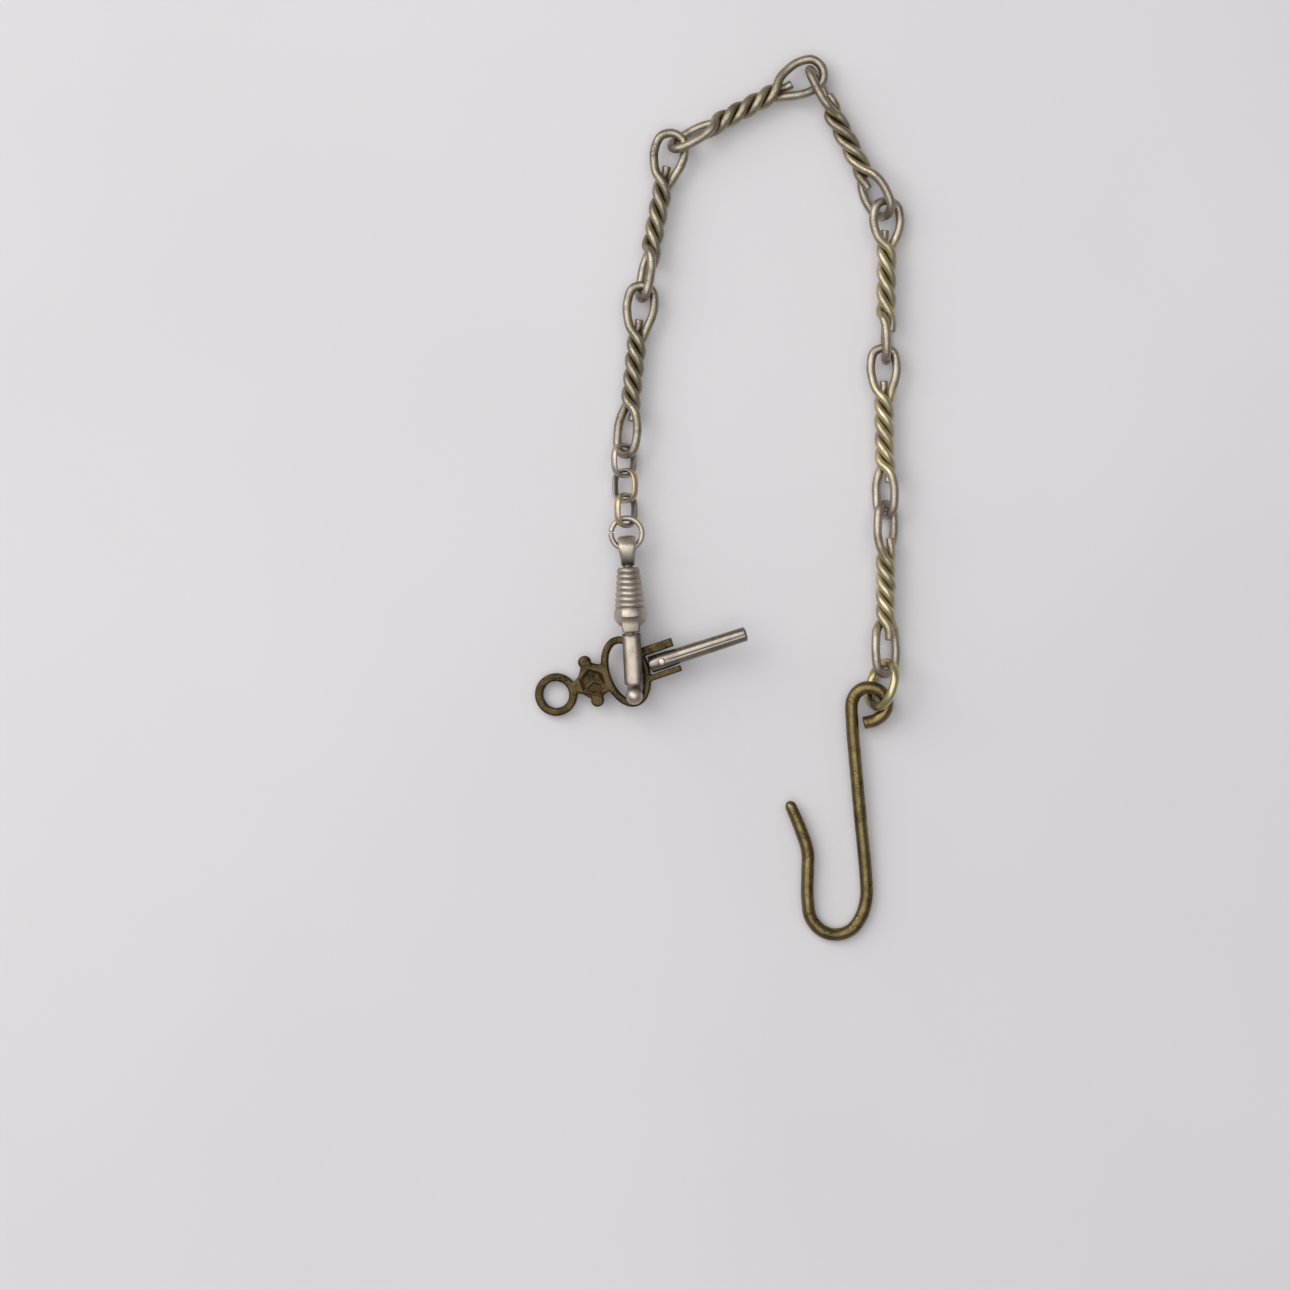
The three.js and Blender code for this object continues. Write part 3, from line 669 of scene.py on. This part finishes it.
barrel_profile = [(0.6, -0.05), (1.0, -0.05), (1.55, 0.0)]
for i in range(RIBS * STEPS_PER_RIB + 1):
    t = i / (RIBS * STEPS_PER_RIB)
    wave = 0.5 + 0.5 * math.cos(2 * math.pi * (t * RIBS + 0.5))
    barrel_profile.append((rib_crest(t) - RIB_DEPTH * (1 - wave ** 0.55), -BARREL_LENGTH * t - 0.02))
barrel_profile += [(2.2, -6.56), (0.6, -6.6)]

barrel = Piece()
barrel.rows(lathe_rings(barrel_profile, 64), tarnish_and_shade=rib_groove)
barrel.finish("snap_barrel", "snap", "bright_nickel", ["snap_body"], SNAP, sharp=60)

# -- the collar: cushion shaped, with broad flats
COLLAR_PROFILE = [
    (2.1, -6.45), (2.3, -6.5), (2.58, -6.95), (2.71, -7.6), (2.71, -8.1), (2.45, -8.75), (1.95, -9.35),
    (1.45, -9.6), (0.4, -9.62),
]


def flats(angle, y):
    """Six flats on a turned collar, one of them on top, strongest at its middle."""
    step = math.pi / 3
    away = (angle - math.pi / 2 + step / 2) % step - step / 2
    return 1 - 0.3 * (1 - math.cos(step / 2) / math.cos(away)) * smoothstep(-6.4, -7.2, y)


collar = Piece()
collar.rows(lathe_rings(COLLAR_PROFILE, 72, flats), tarnish_and_shade=lambda p: 0.5 * smoothstep(-6.75, -6.45, p.y))
collar.finish("snap_collar", "snap", "bright_nickel", [], SNAP, sharp=22)

# -- the fixed limb, its bend and its ball tip, all one bent bar, with the lug that carries the gate
LIMB_RADIUS = 1.09
LIMB_ROUTE = [
    (-8.2, -1.0), (-9.6, -2.2), (-11.4, -3.0), (-13.0, -3.0), (-14.5, -3.0), (-16.0, -3.0),
    (-17.3, -3.0), (-18.85, -2.35), (-19.65, -0.9), (-20.05, 0.8), (-20.7, 2.75),
]
BALL_RADIUS = 1.41
BALL_Y, BALL_Z = -20.9, 2.75
BALL_STEPS = 18
LUG_OUTLINE = [
    (-7.9, 0.5), (-7.9, 2.2), (-8.15, 2.85), (-8.6, 3.4), (-9.1, 3.68), (-9.6, 3.75), (-10.4, 3.75),
    (-10.55, 3.6), (-10.55, 1.8), (-10.4, 1.65), (-9.3, 0.9),
]
# how far out from the snap's middle the lug has how much of its outline
LUG_EDGE = [(1.15, 1.0), (1.31, 0.95), (1.41, 0.88), (1.45, 0.8)]
PIN_Y, PIN_Z = -11.75, 2.7
TONGUE_X = -0.3
TONGUE_HALF = 0.33  # half its thickness
TONGUE_RADIUS = 0.62
TONGUE_BACK = -10.0  # inside the lug


def ball_tip():
    """A ball turned on the bar's end, with a tiny flat at each pole."""
    profile = []
    for k in range(BALL_STEPS + 1):
        angle = math.pi * (k + 0.15) / (BALL_STEPS + 0.3)
        profile.append((BALL_RADIUS * math.sin(angle), BALL_Y + BALL_RADIUS * math.cos(angle)))
    return [[Vector((p.x, p.y, p.z + BALL_Z)) for p in ring] for ring in lathe_rings(profile, 32)]


def lug_rings():
    """The lug's outline across the snap, shrunk towards its middle at both faces."""
    corners = [Vector((0, y, z)) for y, z in LUG_OUTLINE]
    middle = sum(corners, Vector((0, 0, 0))) / len(corners)
    rings = []
    for x, size in [(-x, size) for x, size in reversed(LUG_EDGE)] + LUG_EDGE:
        rings.append([middle + (corner - middle) * size + Vector((x, 0, 0)) for corner in corners])
    return rings


def tongue_rings():
    """The plate on the lug that the gate is forked over, round about the pin."""
    outline = [(TONGUE_BACK, PIN_Z - TONGUE_RADIUS), (PIN_Y, PIN_Z - TONGUE_RADIUS)]
    for degrees in range(20, 180, 20):
        angle = math.radians(degrees)
        back, down = TONGUE_RADIUS * math.sin(angle), TONGUE_RADIUS * math.cos(angle)
        outline.append((PIN_Y - back, PIN_Z - down))
    outline += [(PIN_Y, PIN_Z + TONGUE_RADIUS), (TONGUE_BACK, PIN_Z + TONGUE_RADIUS)]
    sides = (TONGUE_X - TONGUE_HALF, TONGUE_X + TONGUE_HALF)
    return [[Vector((x, y, z)) for y, z in outline] for x in sides]


limb = Piece()
limb.rows(tube_rings(spline([(0, y, z) for y, z in LIMB_ROUTE]), LIMB_RADIUS, 90, 20, uneven=0.01))
limb.rows(ball_tip())
# painted shade on the lug, deepest where it goes in under the collar
limb.rows(lug_rings(), tarnish_and_shade=lambda p: 0.35 + 0.4 * smoothstep(-8.6, -7.9, p.y))
limb.rows(tongue_rings(), tarnish_and_shade=lambda p: 0.7)
limb.finish("snap_limb", "snap", "bright_nickel", [], SNAP)

# -- the gate: a bar with rounded corners, forked over the tongue
GATE_WIDTH = 3.0
GATE_HEIGHT = 2.1
FORK_LOW = (-0.85, -13.0, 1.0)
FORK_HIGH = (0.85, -9.6, PIN_Z + 0.72)


def gate_ring(y, width, height, drop=0.0):
    return [Vector((w, y, PIN_Z + h - drop)) for w, h in band_section(width, height, 2.7, 40)]


def block(low, high):
    """The corners and faces of a box."""
    corners = [(x, y, z) for x in (low[0], high[0]) for y in (low[1], high[1]) for z in (low[2], high[2])]
    return corners, [(0, 1, 3, 2), (4, 6, 7, 5), (0, 4, 5, 1), (2, 3, 7, 6), (0, 2, 6, 4), (1, 5, 7, 3)]


def cut(piece, low, high):
    """The piece with a box cut out of it."""
    shapes = []
    for points, faces in ((piece.points, piece.faces), block(low, high)):
        mesh = closed_mesh("cut", points, faces)
        shapes.append(bpy.data.objects.new("cut", mesh))
        bpy.context.scene.collection.objects.link(shapes[-1])
    modifier = shapes[0].modifiers.new("cut", "BOOLEAN")
    modifier.operation = "DIFFERENCE"
    modifier.solver = "EXACT"
    modifier.object = shapes[1]
    depsgraph = bpy.context.evaluated_depsgraph_get()
    result = Piece()
    result.add_mesh(bpy.data.meshes.new_from_object(shapes[0].evaluated_get(depsgraph)))
    for shape in shapes:
        bpy.data.objects.remove(shape)
    return result


# rounded off at the ball's end, straight along the middle, and round over the pin
bar_rings = [gate_ring(-19.1, 2.2, 1.4, -0.1), gate_ring(-19.06, 2.6, 1.8, -0.05)]
bar_rings += [gate_ring(-18.9, 2.9, 2.05)]
bar_rings += [gate_ring(-18.5 + 0.75 * i, GATE_WIDTH, GATE_HEIGHT) for i in range(10)]
for over in (0.15, 0.35, 0.55, 0.7, 0.82, 0.92, 0.99, 1.03):
    bar_rings.append(gate_ring(PIN_Y + over, GATE_WIDTH, GATE_HEIGHT * math.sqrt(1 - (over / 1.05) ** 2)))
bar = Piece()
bar.rows(bar_rings)
gate = cut(bar, FORK_LOW, FORK_HIGH)
# a painted highlight down the middle of the gate and painted shade on its rounded sides
for i, point in enumerate(gate.points):
    gate.marks["tarnish_and_shade"][i] = 0.1 + 0.6 * smoothstep(0.35, 1.15, abs(point.x + 0.15))
gate.finish("snap_gate_bar", "gate", "bright_nickel", ["snap_gate"], SNAP, sharp=35)

# -- the gate's pin, and the spring coiled on it beside the tongue
PIN_PROFILE = [(0.15, -1.45), (0.25, -1.43), (0.3, -1.35), (0.3, 1.35), (0.25, 1.43), (0.15, 1.45)]
SPRING_RADIUS = 0.5
SPRING_WIRE_RADIUS = 0.095
SPRING_MIDDLE = 0.42  # across the snap from its middle
SPRING_TURNS = 1.5
SPRING_PITCH = 0.27
SPRING_STEPS = 60

pin = Piece()
pin.rows(lathe_rings(PIN_PROFILE, 24))
pin.move(placed((0, PIN_Y, PIN_Z), 90))
pin.finish("gate_pin_rod", "snap", "polished_steel", ["gate_pin"], SNAP)

coil = []
for i in range(SPRING_STEPS + 1):
    angle = math.radians(360 * SPRING_TURNS) * i / SPRING_STEPS
    across = SPRING_MIDDLE + SPRING_PITCH * SPRING_TURNS * (i / SPRING_STEPS - 0.5)
    y = PIN_Y + SPRING_RADIUS * math.cos(angle)
    z = PIN_Z + SPRING_RADIUS * math.sin(angle)
    coil.append(Vector((across, y, z)))
spring = Piece()
spring.rows(tube_rings(coil, SPRING_WIRE_RADIUS, 70, 10))
spring.finish("gate_spring_coil", "snap", "spring_steel", ["gate_spring"], SNAP)


# ---------------------------------------------------------------- watch key

# The key's own frame: x runs from the middle of its ring towards the pipe, which is the higher end.
KEY = placed((-26.8, -32.1, 1.37), 19, -9.6)
PIPE = placed((16.35, -0.4, 0), -0.9)
KEY_PLATE = 1.5
FRAME_X, FRAME_Y = 12.2, -0.15
LEAF_X, LEAF_Y = 6.5, 0.1
LOBE_RADIUS = 1.05
CASTING_VOXEL = 0.14


def arc(x, y, radius, low, high, count=16):
    angles = [low + (high - low) * i / count for i in range(count + 1)]
    return [(x + radius * math.cos(angle), y + radius * math.sin(angle)) for angle in angles]


def ellipse(x, y, half_width, half_length, count=72):
    angles = [2 * math.pi * i / count for i in range(count)]
    return [(x + half_width * math.cos(angle), y + half_length * math.sin(angle)) for angle in angles]


def rectangle(low, high):
    return [(low[0], low[1]), (high[0], low[1]), (high[0], high[1]), (low[0], high[1])]


def plate(outlines, thickness, bevel):
    """A flat piece cut to the outlines, with rounded edges. A second outline inside it is a hole."""
    data = bpy.data.curves.new("plate", "CURVE")
    data.dimensions = "2D"
    data.fill_mode = "BOTH"
    data.extrude = thickness / 2 - bevel
    data.bevel_depth = bevel
    data.bevel_resolution = 3
    data.offset = -bevel
    for outline in outlines:
        points = data.splines.new("POLY")
        points.points.add(len(outline) - 1)
        for point, (x, y) in zip(points.points, outline):
            point.co = (x, y, 0, 1)
        points.use_cyclic_u = True
    shape = bpy.data.objects.new("plate", data)
    mesh = bpy.data.meshes.new_from_object(shape)
    bpy.data.objects.remove(shape)
    return mesh


def welded(meshes):
    """The plates run together into one casting, with softened corners."""
    casting = Piece()
    for mesh in meshes:
        casting.add_mesh(mesh)
    mesh = bpy.data.meshes.new("casting")
    mesh.from_pydata(casting.points, [], casting.faces)
    obj = bpy.data.objects.new("casting", mesh)
    bpy.context.scene.collection.objects.link(obj)
    remesh = obj.modifiers.new("remesh", "REMESH")
    remesh.mode = "VOXEL"
    remesh.voxel_size = CASTING_VOXEL
    smooth = obj.modifiers.new("smooth", "SMOOTH")
    smooth.factor = 0.5
    smooth.iterations = 3
    depsgraph = bpy.context.evaluated_depsgraph_get()
    result = bpy.data.meshes.new_from_object(obj.evaluated_get(depsgraph))
    bpy.data.objects.remove(obj)
    return result


# the leaf: a neck from the ring, a round lobe on each side, and a broad join to the frame
leaf_outline = [(2.9, -1.0), (3.7, -1.05), (4.4, -1.5), (4.9, -2.1)]
leaf_outline += arc(6.2, -3.1, LOBE_RADIUS, math.pi * 0.8, math.pi * 2.1)
leaf_outline += [(8.2, -2.35), (9.3, -2.3), (9.3, 2.3), (8.2, 2.45), (7.3, 3.0)]
leaf_outline += arc(6.2, 3.5, LOBE_RADIUS, -math.pi * 0.1, math.pi * 1.2)
leaf_outline += [(4.6, 1.7), (3.8, 1.15), (2.9, 1.0)]

ring_outlines = [ellipse(0, 0, 3.5, 3.5), ellipse(0, 0, 2.2, 2.2)]
frame_outlines = [ellipse(FRAME_X, FRAME_Y, 3.85, 5.95), ellipse(FRAME_X, FRAME_Y, 2.63, 4.73)]

castings = [
    plate(ring_outlines, KEY_PLATE, 0.3),
    plate([leaf_outline], KEY_PLATE, 0.3),
    plate(frame_outlines, KEY_PLATE, 0.35),
]
# the fork's two prongs beside the pipe, and the tang inside it
for low, high in (((14.2, 1.25), (21.0, 2.7)), ((14.2, -3.0), (21.0, -2.0))):
    castings.append(plate([rectangle(low, high)], KEY_PLATE - 0.2, 0.2))
castings.append(plate([rectangle((15.0, -0.95), (19.6, -0.05))], 0.9, 0.2))


def relief(x, y):
    """How far the leaf's face is raised: a six-sided sunk panel with a border and a three-armed rib."""
    u, v = x - LEAF_X, y - LEAF_Y
    away = max(abs(u) * 0.95, abs(u * 0.5 + v * 0.75), abs(u * 0.5 - v * 0.75))
    border = 1 - smoothstep(0.12, 0.3, abs(away - 1.6))
    arms = 0.0
    for degrees in (90, 210, 330):
        c, s = math.cos(math.radians(degrees)), math.sin(math.radians(degrees))
        along, across = u * c + v * s, -u * s + v * c
        narrow = 1 - smoothstep(0.1, 0.26, abs(across))
        arms = max(arms, narrow * smoothstep(-0.1, 0.1, along) * (1 - smoothstep(1.4, 1.6, along)))
    sunk = 1 - smoothstep(1.5, 1.8, away)
    return -0.22 * sunk + 0.18 * max(border * (away > 1.2), arms)


bow = Piece()
bow.add_mesh(welded(castings))
for i, point in enumerate(bow.points):
    if point.z > 0.45 and 4.3 < point.x < 9.0:
        height = relief(point.x, point.y)
        point.z += height * smoothstep(0.45, 0.7, point.z)
        bow.marks["tarnish_and_shade"][i] = min(max(-height * 1.6, 0), 0.5)
    point.z += 0.03 * noise.noise(point * 1.1)
bow.finish("key_bow_casting", "key", "dark_bronze", ["key_bow"], KEY, sharp=80)


FLUTES = (1.42, 0.9, 3.6, 5.2)  # where they are round the pipe, in radians
PIPE_BASE = [
    (1.28, 0.0), (1.36, 0.05), (1.38, 0.15), (1.38, 1.2), (1.38, 2.2), (1.37, 3.0), (1.33, 3.6), (1.3, 4.2),
]
PIPE_SIDES = 160
BORE = 0.73
RIVET_PROFILE = [
    (0.05, -1.5), (0.3, -1.48), (0.34, -1.38), (0.34, 1.46), (0.6, 1.48), (0.6, 1.56), (0.5, 1.68),
    (0.3, 1.74), (0.05, 1.76),
]


def flutes(angle, y):
    """Long shallow grooves drawn along the pipe."""
    depth = 0.0
    for centre in FLUTES:
        away = abs((angle - centre + math.pi) % (2 * math.pi) - math.pi)
        depth = max(depth, 1 - smoothstep(0.04, 0.2, away))
    return 1 - 0.055 * depth * smoothstep(2.9, 3.3, y)


# straight round the tang, then drawn in a little to the open end
pipe_profile = PIPE_BASE + [(1.3 - 0.12 * i / 8, 4.2 + 12.1 * i / 8) for i in range(1, 9)]
pipe_profile += [(1.16, 16.45), (1.1, 16.5)]
bore_profile = [(BORE + 0.05, 16.5), (BORE, 16.4), (BORE, 0.1), (BORE + 0.05, 0.0)]
outer = lathe_rings(pipe_profile, PIPE_SIDES, flutes)
inner = lathe_rings(bore_profile, PIPE_SIDES)
pipe = Piece()
pipe.rows(outer + inner, closed=True, tarnish_and_shade=lambda p: 0.85 if math.hypot(p.x, p.z) < BORE + 0.03 else 0.0)
pipe.move(PIPE @ Matrix.Rotation(-math.pi / 2, 4, "Z"))
pipe.finish("key_pipe_tube", "key", "polished_steel", ["key_pipe"], KEY)

rivet = Piece()
# painted shade on the shank and in a ring under the rim of the head
rivet.rows(lathe_rings(RIVET_PROFILE, 28), tarnish_and_shade=lambda p: 0.8 if p.y < 1.5 else 0.0)
rivet.move(placed((18.5, -0.48, 0), 0, 0, 90))
rivet.finish("key_rivet_head", "key", "polished_steel", ["key_rivet"], KEY, material=RUBBED_STEEL)


# ---------------------------------------------------------------- table, light and camera


def pale_table():
    n = Nodes("pale table")
    cloud = n.ramp(n.noise(9, 3), 0.35, 0.65)
    n.link(n.mix(cloud, linear(0xDAD7D9), linear(0xD6D3D5)), n.shader.inputs["Base Color"])
    n.shader.inputs["Roughness"].default_value = 0.75
    n.link(n.bump(n.noise(900, 3), 0.05, 0.0001), n.shader.inputs["Normal"])
    return n.material


FLOOR = 3.0  # metres from its middle to its edge

floor_mesh = bpy.data.meshes.new("floor")
floor_corners = [(-FLOOR, -FLOOR, 0), (FLOOR, -FLOOR, 0), (FLOOR, FLOOR, 0), (-FLOOR, FLOOR, 0)]
floor_mesh.from_pydata(floor_corners, [], [(0, 1, 2, 3)])
floor_mesh.materials.append(pale_table())
floor = bpy.data.objects.new("floor", floor_mesh)
bpy.context.scene.collection.objects.link(floor)


def softbox(name, at, target, size, power, color):
    data = bpy.data.lights.new(name, "AREA")
    data.shape = "SQUARE"
    data.size = size
    data.energy = power
    data.color = color
    light = bpy.data.objects.new(name, data)
    light.location = at
    light.rotation_euler = (Vector(target) - Vector(at)).to_track_quat("-Z", "Y").to_euler()
    light.visible_camera = False
    bpy.context.scene.collection.objects.link(light)


softbox("window", (-0.6, 0.35, 0.55), (0, 0, 0), 0.7, 3.4, (1.0, 0.985, 0.97))
softbox("ceiling", (-0.15, 0.05, 0.95), (0, -0.02, 0), 1.2, 7.0, (1.0, 0.99, 0.985))

world = bpy.data.worlds.new("studio")
world.use_nodes = True
background = world.node_tree.nodes["Background"]
background.inputs["Color"].default_value = (0.86, 0.88, 0.92, 1)
background.inputs["Strength"].default_value = 0.34
bpy.context.scene.world = world
bpy.context.scene.view_settings.view_transform = "Standard"

# above the table, looking straight down on the chain
CAMERA_PLACE = (-0.0123, -0.0240, 0.6)
LENS = 102.1

camera_data = bpy.data.cameras.new("camera")
camera_data.sensor_width = 36
camera_data.lens = LENS
camera = bpy.data.objects.new("camera", camera_data)
camera.location = CAMERA_PLACE
bpy.context.scene.collection.objects.link(camera)
bpy.context.scene.camera = camera
